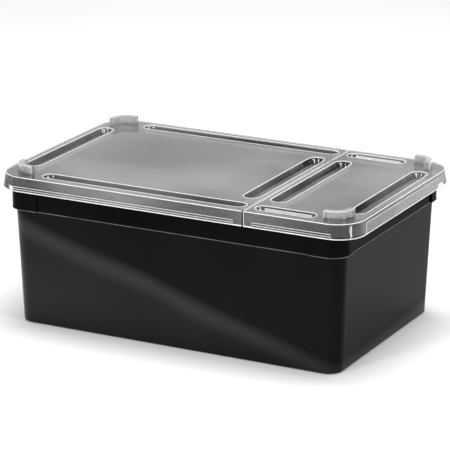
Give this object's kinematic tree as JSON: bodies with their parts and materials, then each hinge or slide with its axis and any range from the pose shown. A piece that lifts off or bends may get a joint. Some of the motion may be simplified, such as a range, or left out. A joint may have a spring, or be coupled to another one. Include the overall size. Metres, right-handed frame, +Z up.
{
  "type": "lidded storage tub",
  "caption": "Tapered rectangular plastic tub with a stepped collar and a clear push-on lid that folds open along a film hinge, with corner lugs for stacking.",
  "frame": {"origin": "middle of the tub's underside, on the surface it stands on", "axes": "+Z up, +X along the long side towards the short flap, +Y across the width"},
  "size_m": [0.37, 0.23, 0.1532],
  "materials": {
    "tub_plastic": "black polypropylene, smooth with a soft sheen",
    "lid_plastic": "clear natural polypropylene, glossy and slightly milky",
    "hinge_plastic": "the same clear polypropylene, paler where it's thin and worked"
  },
  "bodies": {
    "tub": {"tub": "tub_plastic"},
    "lid_carrier": {"film_hinge": "hinge_plastic"},
    "main_panel": {"lid_main_panel": "lid_plastic"},
    "flap_panel": {"lid_flap_panel": "lid_plastic"}
  },
  "joints": [
    {"name": "lid_lift", "type": "slide", "parent": "tub", "child": "lid_carrier", "axis": [0, 0, 1], "range_m": [0, 0.08]},
    {"name": "main_panel_fold", "type": "hinge", "parent": "lid_carrier", "child": "main_panel", "pos_m": [0.076, 0, 0.145], "axis": [0, 1, 0], "range_deg": [0, 60]},
    {"name": "flap_fold", "type": "hinge", "parent": "lid_carrier", "child": "flap_panel", "pos_m": [0.076, 0, 0.145], "axis": [0, -1, 0], "range_deg": [0, 110]}
  ]
}
